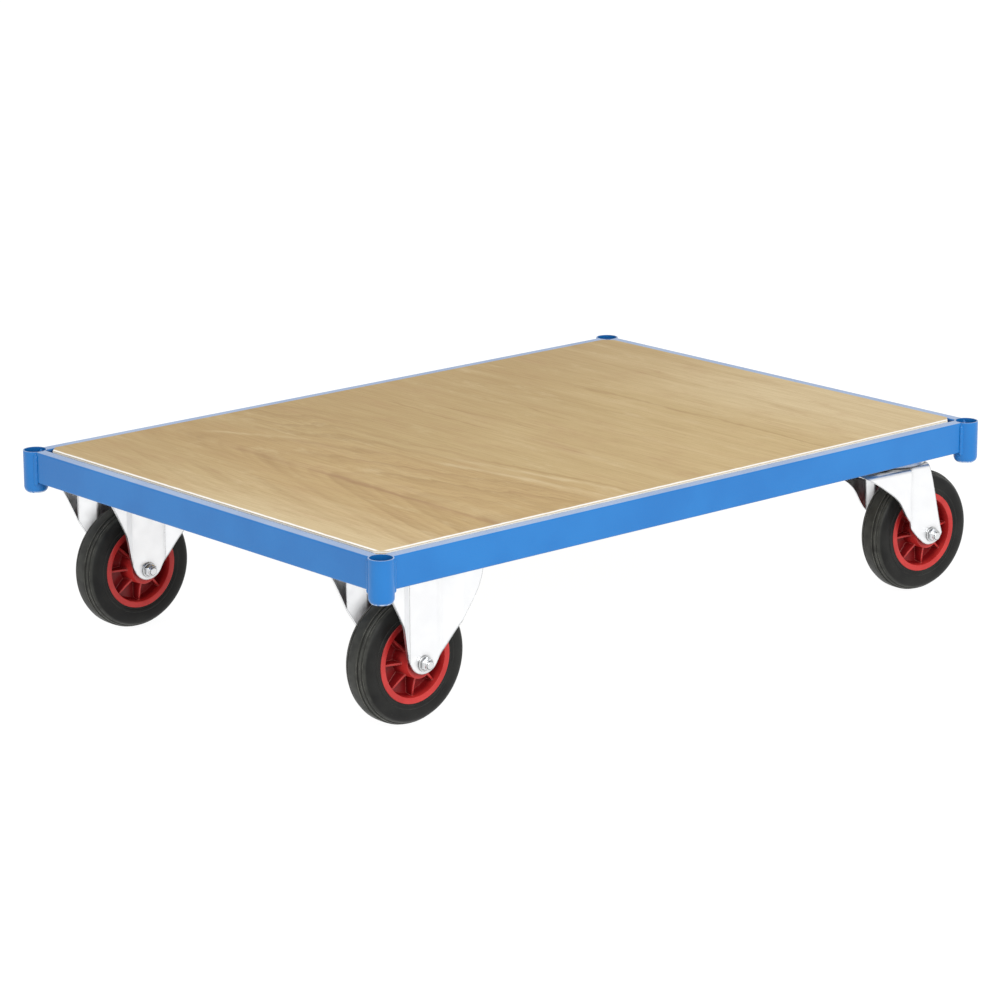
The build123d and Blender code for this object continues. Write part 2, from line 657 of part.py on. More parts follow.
with BuildPart() as dust_ring:
    with BuildSketch(Plane.XZ):
        with BuildLine():
            ring_bottom = CROWN_TOP + DUST_RING_GAP
            Polyline(
                (DUST_RING_TOP_RADIUS, PLATE_BOTTOM),
                (DUST_RING_TOP_RADIUS + DUST_RING_WALL, PLATE_BOTTOM),
                (DUST_RING_BOTTOM_RADIUS + DUST_RING_WALL, ring_bottom),
                (DUST_RING_BOTTOM_RADIUS, ring_bottom),
                close=True,
            )
        make_face()
    revolve(axis=Axis.Z)

with BuildPart() as swivel_balls:
    with Locations(upper_track):
        with PolarLocations(UPPER_TRACK_RADIUS, UPPER_BALL_COUNT):
            Sphere(UPPER_BALL_RADIUS)
    with Locations(lower_track):
        with PolarLocations(LOWER_TRACK_RADIUS, LOWER_BALL_COUNT):
            Sphere(LOWER_BALL_RADIUS)

with BuildPart() as king_pin_nuts:
    with BuildSketch(level(KING_NUT_BOTTOM, SWIVEL_X)):
        with Locations(*[(0, side * SWIVEL_Y) for side in SIDES.values()]):
            RegularPolygon(KING_NUT_FLATS / 2, 6, major_radius=False)
            Circle(KING_PIN_RADIUS, mode=Mode.SUBTRACT)
    extrude(amount=KING_NUT_HEIGHT)
save(king_pin_nuts.part, "king_pin_nuts")

# ---------------------------------------------------------------- swivel fork
# Made with its axle over the origin, like the wheel set; the swivel axis is ahead of it.
FORK_PLAN = [
    (FORK_WEB_END, LEG_FACE),
    (-FORK_WEB_END, LEG_FACE),
    (-FORK_WING_START, FORK_WING_FACE),
    (-FORK_LENGTH, FORK_WING_FACE),
]


def fork_block(inset, top):
    """A solid block of the fork's plan, drawn in from its outer faces by an inset."""
    half = [(x, y - inset) for x, y in FORK_PLAN]
    with BuildPart() as block:
        with BuildSketch(Plane.XY.offset(LEG_BOTTOM)) as plan:
            with BuildLine():
                Polyline(*half, *[(x, -y) for x, y in reversed(half)], close=True)
            make_face()
            folds = plan.vertices().filter_by_position(Axis.X, -FORK_WING_START, 0)
            fillet(folds, FORK_BEND)
        extrude(amount=top - LEG_BOTTOM)
        top_edges = block.faces().sort_by(Axis.Z)[-1].edges()
        bends = top_edges.sort_by(Axis.X)[1:-1]
        fillet(bends, CROWN_BEND - inset)
    return block.part


with BuildPart() as swivel_fork:
    add(fork_block(0, CROWN_TOP))
    add(fork_block(LEG_SHEET, CROWN_BOTTOM), mode=Mode.SUBTRACT)
    with BuildSketch(axle_plane(-FORK_WING_FACE)):
        with BuildLine():
            leg_outline(FORK_BACK_EDGE, FORK_FRONT_EDGE)
        make_face()
    extrude(amount=2 * FORK_WING_FACE, mode=Mode.INTERSECT)
    with BuildSketch(axle_plane(-LEG_FACE)):
        Circle(AXLE_HOLE_RADIUS)
    extrude(amount=2 * LEG_FACE, mode=Mode.SUBTRACT)
    with Locations((-SWIVEL_TRAIL, 0, CROWN_TOP)):
        Hole(CROWN_HOLE_RADIUS, CROWN_THICKNESS)
    with Locations((-SWIVEL_TRAIL, 0, UPPER_BALL_HEIGHT)):
        Torus(UPPER_TRACK_RADIUS, UPPER_BALL_RADIUS + BALL_PLAY, mode=Mode.SUBTRACT)
    with Locations((-SWIVEL_TRAIL, 0, LOWER_BALL_HEIGHT)):
        Torus(LOWER_TRACK_RADIUS, LOWER_BALL_RADIUS + BALL_PLAY, mode=Mode.SUBTRACT)

HEAD_PIECES = {
    "top_plate": swivel_plate.part,
    "king_pin": king_pin.part,
    "lower_race": lower_race.part,
    "dust_ring": dust_ring.part,
    "swivel_balls": swivel_balls.part,
}

for side_name, side in SIDES.items():
    head_place = Location((DECK_X + SWIVEL_X, side * SWIVEL_Y, 0))
    for piece_name, piece in HEAD_PIECES.items():
        save(piece.moved(head_place), f"{piece_name}_{side_name}")
    turned = head_place * Location((0, 0, 0), (0, 0, SWIVEL_REST_YAW))
    wheel_place = turned * Location((SWIVEL_TRAIL, 0, 0))
    for piece_name, piece in WHEEL_PIECES.items():
        save(piece.moved(wheel_place), f"{piece_name}_swivel_{side_name}")
    save(swivel_fork.part.moved(wheel_place), f"fork_swivel_{side_name}")
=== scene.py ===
"""Looks of the platform trolley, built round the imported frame.  Units are metres, +Z is up."""

import json
import math

import bpy
from mathutils import Matrix, Vector


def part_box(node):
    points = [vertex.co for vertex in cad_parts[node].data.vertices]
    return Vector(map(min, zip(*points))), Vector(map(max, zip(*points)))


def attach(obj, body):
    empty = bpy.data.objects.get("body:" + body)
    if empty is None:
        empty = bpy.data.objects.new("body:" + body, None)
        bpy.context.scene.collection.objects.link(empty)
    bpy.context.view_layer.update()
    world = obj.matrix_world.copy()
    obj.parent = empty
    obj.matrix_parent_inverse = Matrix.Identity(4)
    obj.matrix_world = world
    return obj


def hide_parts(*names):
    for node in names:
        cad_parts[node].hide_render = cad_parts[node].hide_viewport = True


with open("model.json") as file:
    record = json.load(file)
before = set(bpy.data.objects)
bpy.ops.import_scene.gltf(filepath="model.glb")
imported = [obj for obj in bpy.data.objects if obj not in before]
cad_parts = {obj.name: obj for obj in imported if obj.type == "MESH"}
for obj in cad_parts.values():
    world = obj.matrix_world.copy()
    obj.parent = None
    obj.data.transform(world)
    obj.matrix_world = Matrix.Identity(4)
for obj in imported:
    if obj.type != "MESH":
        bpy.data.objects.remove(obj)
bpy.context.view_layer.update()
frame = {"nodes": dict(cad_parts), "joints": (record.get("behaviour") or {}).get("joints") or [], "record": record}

MM = 0.001
ENDS = {"fixed": -1, "swivel": 1}
SIDES = {"near": -1, "far": 1}
WHEELS = [f"{end}_{side}" for end in ENDS for side in SIDES]


# ---------------------------------------------------------------- material tools
class Surface:
    """A procedural material being put together, node by node, in object space."""

    def __init__(self, name, **settings):
        self.material = bpy.data.materials.new(name)
        self.material.use_nodes = True
        self.tree = self.material.node_tree
        self.shader = self.tree.nodes["Principled BSDF"]
        self.place = self.node("TexCoord").outputs["Object"]
        for socket, value in settings.items():
            self.shader.inputs[socket.replace("_", " ")].default_value = value

    def node(self, kind, inputs=(), **settings):
        """A node of the kind, with its inputs set to values or joined to other sockets."""
        made = self.tree.nodes.new("ShaderNode" + kind)
        for key, value in settings.items():
            setattr(made, key, value)
        for key, value in dict(inputs).items():
            self.join(made.inputs[key], value)
        return made

    def join(self, socket, value):
        if isinstance(value, bpy.types.NodeSocket):
            self.tree.links.new(value, socket)
        else:
            socket.default_value = value

    def stretched(self, x=1.0, y=1.0, z=1.0, source=None):
        """Object space scaled along each axis."""
        inputs = {"Vector": source or self.place, "Scale": (x, y, z)}
        return self.node("Mapping", inputs).outputs["Vector"]

    def noise(self, scale, detail=2.0, place=None, roughness=0.5, distortion=0.0):
        inputs = {
            "Vector": place or self.place,
            "Scale": scale,
            "Detail": detail,
            "Roughness": roughness,
            "Distortion": distortion,
        }
        return self.node("TexNoise", inputs).outputs["Fac"]

    def axes(self, source=None):
        return self.node("SeparateXYZ", {"Vector": source or self.place}).outputs

    def calc(self, operation, first, second=0.0, third=0.0):
        inputs = {0: first, 1: second, 2: third}
        return self.node("Math", inputs, operation=operation).outputs[0]

    def fade(self, value, low, high, start=0.0, end=1.0):
        """A smooth step of value from start at low to end at high."""
        inputs = {"Value": value, "From Min": low, "From Max": high, "To Min": start, "To Max": end}
        return self.node("MapRange", inputs, interpolation_type="SMOOTHSTEP").outputs["Result"]

    def blend(self, amount, first, second, kind="MIX"):
        """A colour between first and second."""
        inputs = {"Factor": amount, 6: solid(first), 7: solid(second)}
        made = self.node("Mix", inputs, data_type="RGBA", blend_type=kind)
        return made.outputs[2]

    def rounded_normal(self, radius):
        return self.node("Bevel", {"Radius": radius}, samples=4).outputs["Normal"]

    def edges(self, radius, sharpest=0.75):
        """Close to 1 on a sharp edge and 0 on a flat or smooth face."""
        faces = self.node("NewGeometry").outputs["Normal"]
        inputs = {0: self.rounded_normal(radius), 1: faces}
        turn = self.node("VectorMath", inputs, operation="DOT_PRODUCT").outputs["Value"]
        return self.fade(turn, 0.995, sharpest)

    def open_sky(self, reach, low=0.35, high=0.95):
        """Close to 1 on open faces and 0 deep in corners and under other pieces."""
        inputs = {"Distance": reach}
        made = self.node("AmbientOcclusion", inputs, samples=6)
        return self.fade(made.outputs["AO"], low, high)

    def bump(self, height, distance, normal=None, strength=1.0):
        inputs = {"Height": height, "Distance": distance, "Strength": strength}
        if normal is not None:
            inputs["Normal"] = normal
        return self.node("Bump", inputs).outputs["Normal"]

    def finish(self, **joined):
        """Joins the shader's inputs and gives back the material."""
        for socket, value in joined.items():
            self.join(self.shader.inputs[socket.replace("_", " ")], value)
        return self.material


def solid(value):
    """A colour triple with its alpha, or a socket as it is."""
    return value if isinstance(value, bpy.types.NodeSocket) else (*value, 1.0)


# ---------------------------------------------------------------- materials
# Every colour is linear RGB.
PAINT_DEEP = (0.004, 0.137, 0.42)
PAINT_BRIGHT = (0.007, 0.158, 0.46)
PAINT_SHADE = (0.002, 0.045, 0.20)
PAINT_TOP_SHEEN = (0.41, 0.50, 0.66)
PAINT_EDGE_HIGHLIGHT = (0.24, 0.42, 0.76)
PAINT_CHIP = (0.05, 0.055, 0.07)
PAINT_SCUFF = (0.62, 0.70, 0.80)
RUBBER_BLACK = (0.006, 0.006, 0.0057)
RUBBER_BLOOM = (0.016, 0.0163, 0.0148)
RUBBER_TREAD = (0.040, 0.041, 0.036)
RUBBER_GROOVE_SHADE = (0.004, 0.004, 0.004)
RUBBER_SCUFF_AND_HIGHLIGHT = (0.20, 0.195, 0.17)
RUBBER_DUST = (0.14, 0.135, 0.12)
RED_DEEP = (0.38, 0.016, 0.015)
RED_BRIGHT = (0.46, 0.027, 0.024)
RED_SHADE = (0.16, 0.003, 0.005)
RED_EDGE_HIGHLIGHT = (0.62, 0.13, 0.11)
ZINC_SHEET = (0.915, 0.92, 0.928)
ZINC_FASTENER = (0.74, 0.75, 0.76)
ZINC_BLUSH = (0.82, 0.84, 0.90)
ZINC_CORNER_SHADE = (0.26, 0.26, 0.255)
ZINC_FOLD_SHADE = (0.33, 0.34, 0.34)
STEEL_BRIGHT = (0.62, 0.62, 0.63)
STEEL_GREASE = (0.30, 0.25, 0.16)
WOOD_MID = (0.490, 0.352, 0.160)
WOOD_LIGHT = (0.550, 0.405, 0.195)
WOOD_WARM = (0.505, 0.340, 0.150)
WOOD_PALE = (0.640, 0.505, 0.295)
WOOD_DARK = (0.390, 0.252, 0.102)
WOOD_RED = (0.430, 0.262, 0.125)
WOOD_STAIN = (0.32, 0.175, 0.075)
WOOD_FIBRE = (0.30, 0.195, 0.085)
WOOD_PORE = (0.20, 0.125, 0.055)
WOOD_RIM_HIGHLIGHT = (0.92, 0.91, 0.88)
LONG_PLY = ((0.86, 0.82, 0.72), (0.90, 0.88, 0.82))
CROSS_PLY = ((0.60, 0.49, 0.33), (0.72, 0.61, 0.44))

# Where the finishes change, in mm: the worn foot of the sockets, the plies, the painted highlight along the rim.
SCUFF_TOP, SCUFF_FULL = 226.5, 224.0
PLY_THICKNESS = 3.4
RIM_EDGE, RIM_FULL, RIM_WANDER = 4.8, 1.6, 3.0

# The mesh attribute that tells tread from sidewall.
TREAD_MARK = "tread"

# The veneer's growth rings, in metres: how far -X of the deck's middle their heart lies, how
# round their tips are, and how many times more a step across the grain counts than one along.
HEART_X = 0.365
RING_TIP = 0.05
RING_SPREAD = 4.2

# How far slow drift and quick wander bend the grain, the heart and the rings, in metres.
GRAIN_WANDER = 0.060
HEART_DRIFT = 0.10
RING_DRIFT = 0.45
RING_WANDER = 0.16

# Two sets of ring bands: bands per metre, strength and darkness.
RING_BANDS = ((5.3, 0.75, 0.82), (17.0, 0.55, 0.86))

# How far a streak takes to fade out at its ends, in metres.
STREAK_FADE = 0.04

# Streaks that stand out on the deck: far end, near end, half width (m), colour and strength.
STREAKS = (
    ((-0.375, 0.23), (-0.375, -0.42), 0.014, WOOD_STAIN, 0.70),
    ((-0.340, 0.33), (-0.260, 0.19), 0.010, WOOD_PALE, 0.60),
    ((-0.200, -0.06), (-0.150, -0.42), 0.012, WOOD_PALE, 0.60),
    ((-0.160, -0.08), (-0.110, -0.42), 0.010, WOOD_PALE, 0.55),
    ((-0.190, 0.38), (-0.160, 0.10), 0.007, WOOD_DARK, 0.75),
    ((-0.160, 0.10), (-0.100, -0.42), 0.007, WOOD_DARK, 0.70),
    ((0.010, 0.30), (-0.010, 0.00), 0.006, WOOD_DARK, 0.70),
    ((0.055, 0.25), (0.050, 0.00), 0.005, WOOD_DARK, 0.60),
    ((0.150, 0.13), (0.140, 0.00), 0.005, WOOD_DARK, 0.60),
    ((0.310, 0.20), (0.315, -0.42), 0.006, WOOD_DARK, 0.65),
    ((0.000, -0.03), (0.000, -0.18), 0.030, WOOD_RED, 0.60),
)


def powder_coat():
    """Blue powder coat: orange peel, slight clouding, chipped edges; painted shade in corners, a painted sheen on
    upward faces and a painted highlight on edges.
    """
    settings = {"Specular_IOR_Level": 0.34, "Coat_Weight": 0.15, "Coat_Roughness": 0.16}
    coat = Surface("blue_powder_coat", **settings)
    cloud = coat.noise(9.0, 3.0)
    paint = coat.blend(coat.fade(cloud, 0.3, 0.7), PAINT_DEEP, PAINT_BRIGHT)
    # Painted shade: the blue darkens in corners and under other pieces.
    paint = coat.blend(coat.open_sky(45.0 * MM, 0.15, 0.60), PAINT_SHADE, paint)
    # Painted sheen: faces that look up are painted a paler blue-grey, in cloudy patches.
    facing = coat.axes(coat.node("NewGeometry").outputs["Normal"])["Z"]
    dust_and_sheen = coat.fade(facing, 0.75, 0.98)
    dust_and_sheen = coat.calc("MULTIPLY", dust_and_sheen, coat.fade(cloud, 0.2, 0.8, 0.55, 0.75))
    paint = coat.blend(dust_and_sheen, paint, PAINT_TOP_SHEEN)
    # Painted highlight: every sharp edge is painted a paler blue.
    edge = coat.edges(1.4 * MM)
    paint = coat.blend(coat.calc("MULTIPLY", edge, 0.45), paint, PAINT_EDGE_HIGHLIGHT)
    chips = coat.fade(coat.noise(310.0, 3.0), 0.665, 0.70)
    chips = coat.calc("MULTIPLY", chips, coat.fade(edge, 0.25, 0.8))
    paint = coat.blend(chips, paint, PAINT_CHIP)
    foot = coat.fade(coat.axes()["Z"], SCUFF_TOP * MM, SCUFF_FULL * MM)
    foot = coat.calc("MULTIPLY", foot, coat.fade(coat.noise(180.0, 3.0), 0.38, 0.52))
    paint = coat.blend(coat.calc("MULTIPLY", foot, 0.8), paint, PAINT_SCUFF)
    normal = coat.bump(coat.noise(520.0, 2.0), 0.05 * MM, coat.rounded_normal(0.9 * MM), 0.5)
    normal = coat.bump(coat.noise(60.0, 2.0), 0.10 * MM, normal, 0.4)
    shine = coat.fade(coat.noise(260.0, 2.0), 0.3, 0.75, 0.34, 0.44)
    return coat.finish(Base_Color=paint, Roughness=shine, Normal=normal)


def rubber():
    """Moulded black rubber: dusty and scuffed on the tread, cleaner on the sidewalls; painted shade in the
    grooves, and pale edge lines that are partly scuffs and partly a painted highlight.
    """
    tyre = Surface("black_rubber", Specular_IOR_Level=0.18, Sheen_Weight=0.02, Sheen_Roughness=0.5)
    tread = tyre.node("Attribute", attribute_name=TREAD_MARK).outputs["Fac"]
    bloom = tyre.fade(tyre.noise(22.0, 4.0), 0.35, 0.75)
    colour = tyre.blend(bloom, RUBBER_BLACK, RUBBER_BLOOM)
    worn = tyre.fade(tyre.noise(70.0, 4.0), 0.30, 0.70, 0.45, 1.0)
    colour = tyre.blend(tyre.calc("MULTIPLY", tread, worn), colour, RUBBER_TREAD)
    # Painted shade: grooves and corners are painted near black.
    colour = tyre.blend(tyre.open_sky(3.0 * MM, 0.25, 0.80), RUBBER_GROOVE_SHADE, colour)
    edge = tyre.edges(1.0 * MM, 0.95)
    # Pale lines along sharp edges, strongest on the tread: partly scuffs, partly a painted highlight.
    scuff_and_highlight = tyre.calc("MULTIPLY", edge, tyre.fade(tyre.noise(40.0, 3.0), 0.36, 0.58, 0.15, 0.9))
    scuff_and_highlight = tyre.calc("MULTIPLY", scuff_and_highlight, tyre.fade(tread, 0.0, 1.0, 0.12, 1.0))
    colour = tyre.blend(scuff_and_highlight, colour, RUBBER_SCUFF_AND_HIGHLIGHT)
    dust_and_sheen = tyre.fade(tyre.noise(900.0, 3.0), 0.66, 0.78)
    colour = tyre.blend(tyre.calc("MULTIPLY", dust_and_sheen, 0.35), colour, RUBBER_DUST)
    normal = tyre.bump(tyre.noise(1400.0, 3.0), 0.04 * MM, None, 0.7)
    rough = tyre.fade(bloom, 0.0, 1.0, 0.44, 0.60)
    return tyre.finish(Base_Color=colour, Roughness=rough, Normal=normal)


def red_plastic():
    """Moulded red polypropylene: satin skin, slight flow marks; painted shade in hollows and a painted highlight
    on edges.
    """
    skin = Surface("red_moulded_plastic", Specular_IOR_Level=0.34)
    flow = skin.noise(30.0, 3.0, distortion=0.6)
    colour = skin.blend(skin.fade(flow, 0.3, 0.7), RED_DEEP, RED_BRIGHT)
    # Painted shade: the red darkens in hollows and between the ribs.
    colour = skin.blend(skin.open_sky(30.0 * MM, 0.30, 0.95), RED_SHADE, colour)
    # Painted highlight: sharp edges are painted a paler coral.
    edge = skin.edges(1.1 * MM)
    colour = skin.blend(skin.calc("MULTIPLY", edge, 0.7), colour, RED_EDGE_HIGHLIGHT)
    normal = skin.bump(skin.noise(1100.0, 2.0), 0.03 * MM, skin.rounded_normal(0.8 * MM), 0.5)
    shine = skin.fade(flow, 0.2, 0.8, 0.30, 0.42)
    return skin.finish(Base_Color=colour, Roughness=shine, Normal=normal)


def zinc(name, tint, rough, grain, reach, depth, fold):
    """Bright zinc plate: rolling lines, faint passivation tint, fine scratches, painted shade on folds.

    Painted shade darkens corners closer than reach (mm) by depth, and folds and cut edges by fold.
    """
    plate = Surface(name, Metallic=1.0)
    cloud = plate.noise(28.0, 3.0, distortion=0.4)
    colour = plate.blend(plate.fade(cloud, 0.3, 0.7), tint, tuple(0.965 * c for c in tint))
    blush = plate.fade(plate.noise(14.0, 2.0), 0.5, 0.8)
    colour = plate.blend(plate.calc("MULTIPLY", blush, 0.10), colour, ZINC_BLUSH)
    # Painted shade: corners and spots under other pieces are painted dark grey.
    corner = plate.calc("MULTIPLY", plate.open_sky(reach * MM, 0.97, 0.50), depth)
    colour = plate.blend(corner, colour, ZINC_CORNER_SHADE)
    # Painted shade: folds and cut edges are painted a darker grey.
    fold_shade = plate.calc("MULTIPLY", plate.edges(2.6 * MM, 0.983), fold)
    colour = plate.blend(fold_shade, colour, ZINC_FOLD_SHADE)
    lines = plate.noise(1.0, 3.0, plate.stretched(700.0, 700.0, 14.0))
    scratch = plate.fade(plate.noise(1.0, 2.0, plate.stretched(120.0, 120.0, 1500.0)), 0.70, 0.74)
    normal = plate.bump(lines, 0.012 * MM, plate.rounded_normal(0.8 * MM), grain)
    normal = plate.bump(scratch, -0.02 * MM, normal, 0.3)
    shine = plate.fade(plate.noise(80.0, 3.0), 0.3, 0.7, *rough)
    return plate.finish(Base_Color=colour, Roughness=shine, Normal=normal)


def bearing_steel():
    """Ground and greased bearing steel."""
    steel = Surface("bearing_steel", Metallic=1.0)
    grease = steel.fade(steel.noise(140.0, 3.0), 0.45, 0.7)
    colour = steel.blend(grease, STEEL_BRIGHT, STEEL_GREASE)
    normal = steel.bump(steel.noise(900.0, 2.0), 0.02 * MM, steel.rounded_normal(0.4 * MM), 0.4)
    shine = steel.fade(grease, 0.0, 1.0, 0.16, 0.4)
    return steel.finish(Base_Color=colour, Roughness=shine, Normal=normal)


def streak(board, x, y, top, foot, width):
    """Close to 1 on a straight streak between two points of the deck, 0 away from it."""
    slope = (foot[0] - top[0]) / (foot[1] - top[1])
    centre = board.calc("MULTIPLY_ADD", y, slope, top[0] - slope * top[1])
    away = board.calc("ABSOLUTE", board.calc("SUBTRACT", x, centre))
    line = board.fade(away, width, 0.0)
    below_top = board.fade(y, top[1] + STREAK_FADE, top[1] - STREAK_FADE)
    above_foot = board.fade(y, foot[1] - STREAK_FADE, foot[1] + STREAK_FADE)
    return board.calc("MULTIPLY", board.calc("MULTIPLY", line, below_top), above_foot)


def plywood():
    """Hardwood-faced plywood, its grain across the deck; the plies show on the edges."""
    low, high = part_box("deck_panel")
    middle = (low + high) / 2
    reach = (high - low) / 2
    board = Surface("plywood", Specular_IOR_Level=0.25)
    x, y, z = board.axes()
    x = board.calc("SUBTRACT", x, middle.x)

    # The veneer wanders a little as it goes along the grain.
    drift = board.calc("SUBTRACT", board.noise(1.0, 2.0, board.stretched(2.6, 0.9, 1.0)), 0.5)
    wander = board.noise(1.0, 4.0, board.stretched(13.0, 4.5, 1.0), 0.65)
    wander = board.calc("SUBTRACT", wander, 0.5)
    bent_x = board.calc("MULTIPLY_ADD", wander, GRAIN_WANDER, x)

    # Growth rings: nested arches round the heart of the left half, opening along -Y.
    arch_x = board.calc("ADD", bent_x, HEART_X)
    arch_x = board.calc("MULTIPLY_ADD", drift, HEART_DRIFT, arch_x)
    flank = board.calc("SQRT", board.calc("MULTIPLY_ADD", arch_x, arch_x, RING_TIP**2))
    rings = board.calc("MULTIPLY_ADD", flank, RING_SPREAD, y)
    rings = board.calc("MULTIPLY_ADD", drift, RING_DRIFT, rings)
    rings = board.calc("MULTIPLY_ADD", wander, RING_WANDER, rings)

    patches = board.fade(board.noise(1.0, 3.0, board.stretched(3.5, 1.4, 1.0)), 0.3, 0.7)
    base = board.blend(patches, WOOD_MID, WOOD_LIGHT)
    heart = board.fade(rings, 0.85, 0.40)
    base = board.blend(board.calc("MULTIPLY", heart, 0.6), base, WOOD_WARM)
    ends = board.fade(board.calc("ABSOLUTE", board.calc("SUBTRACT", x, -0.06)), 0.36, 0.56)
    ends = board.calc("MULTIPLY", ends, board.fade(y, 0.25, -0.15, 0.35, 1.0))
    base = board.blend(board.calc("MULTIPLY", ends, 0.8), base, WOOD_PALE)
    far = board.calc("MULTIPLY", board.fade(y, -0.05, 0.40), 0.45)
    base = board.blend(far, base, WOOD_DARK)

    # Ring bands at two spacings, much fainter away from the heart.
    near_heart = board.fade(board.calc("ABSOLUTE", arch_x), 0.34, 0.10, 0.16, 1.0)
    patchy = board.noise(1.0, 3.0, board.stretched(9.0, 2.0, 1.0))
    patchy = board.calc("MULTIPLY", board.fade(patchy, 0.38, 0.62, 0.10, 1.0), near_heart)
    for spacing, strength, shade in RING_BANDS:
        wave = board.calc("FRACT", board.calc("MULTIPLY", rings, spacing))
        band = board.calc("MULTIPLY", board.fade(wave, 0.30, 0.92), board.fade(wave, 1.0, 0.90))
        band = board.calc("MULTIPLY", band, patchy)
        dark = board.blend(1.0, base, (shade, shade * 0.95, shade * 0.88), "MULTIPLY")
        base = board.blend(board.calc("MULTIPLY", band, strength), base, dark)

    # Broad soft streaks along the grain, then the few that stand out.
    soft = board.noise(1.0, 3.0, board.stretched(42.0, 1.6, 1.0), 0.6)
    base = board.blend(board.fade(soft, 0.45, 0.75, 0.0, 0.26), base, WOOD_DARK)
    base = board.blend(board.fade(soft, 0.50, 0.25, 0.0, 0.18), base, WOOD_PALE)
    mottle = board.noise(1.0, 5.0, board.stretched(24.0, 9.0, 1.0), 0.7)
    base = board.blend(board.fade(mottle, 0.48, 0.78, 0.0, 0.45), base, WOOD_RED)
    base = board.blend(board.fade(mottle, 0.46, 0.22, 0.0, 0.50), base, WOOD_PALE)
    broken = board.noise(1.0, 3.0, board.stretched(30.0, 5.0, 1.0))
    broken = board.fade(broken, 0.35, 0.60, 0.25, 1.0)
    for top, foot, width, colour, amount in STREAKS:
        line = board.calc("MULTIPLY", streak(board, bent_x, y, top, foot, width), broken)
        base = board.blend(board.calc("MULTIPLY", line, amount), base, colour)

    # Fibres and pores run along Y.
    fibre = board.noise(1.0, 4.0, board.stretched(420.0, 9.0, 1.0), 0.65)
    base = board.blend(board.fade(fibre, 0.35, 0.75, 0.0, 0.28), base, WOOD_FIBRE)
    pore = board.fade(board.noise(1.0, 2.0, board.stretched(1500.0, 60.0, 1.0)), 0.66, 0.72)
    base = board.blend(board.calc("MULTIPLY", pore, 0.35), base, WOOD_PORE)

    # A painted highlight: the top is painted near white along the -X and -Y rims of the panel.
    from_end = board.calc("ADD", reach.x, x)
    from_side = board.calc("ADD", reach.y, y)
    from_rim = board.calc("MINIMUM", from_end, from_side)
    rim_noise = board.noise(45.0, 3.0)
    from_rim = board.calc("MULTIPLY_ADD", rim_noise, -RIM_WANDER * MM, from_rim)
    rim = board.fade(from_rim, RIM_EDGE * MM, RIM_FULL * MM, 0.0, 0.97)
    base = board.blend(rim, base, WOOD_RIM_HIGHLIGHT)

    # Edges of the panel: pale sanded plies, every other one end grain.
    above = board.calc("SUBTRACT", z, low.z)
    ply = board.calc("FRACT", board.calc("DIVIDE", above, PLY_THICKNESS * MM))
    end_grain = board.fade(ply, 0.47, 0.53)
    streaks = board.noise(1.0, 3.0, board.stretched(260.0, 260.0, 900.0))
    long_ply = board.blend(board.fade(streaks, 0.3, 0.7), *LONG_PLY)
    cross_ply = board.blend(board.fade(streaks, 0.3, 0.7), *CROSS_PLY)
    plies = board.blend(end_grain, cross_ply, long_ply)
    facing = board.axes(board.node("NewGeometry").outputs["Normal"])["Z"]
    upward = board.fade(board.calc("ABSOLUTE", facing), 0.6, 0.95)
    colour = board.blend(upward, plies, base)

    relief = board.calc("MULTIPLY_ADD", pore, -0.6, fibre)
    normal = board.bump(relief, 0.05 * MM, None, 0.45)
    shine = board.fade(fibre, 0.3, 0.7, 0.54, 0.66)
    return board.finish(Base_Color=colour, Roughness=shine, Normal=normal)


MATERIALS = {
    "frame_paint": powder_coat(),
    "plywood": plywood(),
    "tyre_rubber": rubber(),
    "red_plastic": red_plastic(),
    "zinc_sheet": zinc(
        "zinc_plated_sheet",
        tint=ZINC_SHEET,
        rough=(0.28, 0.38),
        grain=0.3,
        reach=11.0,
        depth=0.55,
        fold=0.8,
    ),
    "zinc_fastener": zinc(
        "zinc_plated_fastener",
        tint=ZINC_FASTENER,
        rough=(0.14, 0.24),
        grain=0.15,
        reach=5.0,
        depth=0.95,
        fold=0.0,
    ),
    "bearing_steel": bearing_steel(),
}

SLOT_OF = {row["node"]: row["material_slot"] for row in frame["record"]["subparts"]}


def dress(node):
    """Gives a CAD node the procedural material of its slot."""
    part = frame["nodes"][node]
    part.data.materials.clear()
    part.data.materials.append(MATERIALS[SLOT_OF[node]])


for node in frame["nodes"]:
    dress(node)


# ---------------------------------------------------------------- mesh tools
# Points round a turned piece, and the angles in degrees above which an edge stays sharp.
STEPS_AROUND = 120
TYRE_STEPS = 180
CENTRE_STEPS = 144
SCREW_STEPS = 48
CREASE = 32.0
TYRE_CREASE = 28.0
BEAD_CREASE = 50.0

JOINTS = {row["name"]: row for row in frame["joints"]}
RECORD_BODIES = frame["record"]["behaviour"]["bodies"]
BODY_OF = {node: body for body, nodes in RECORD_BODIES.items() for node in nodes}


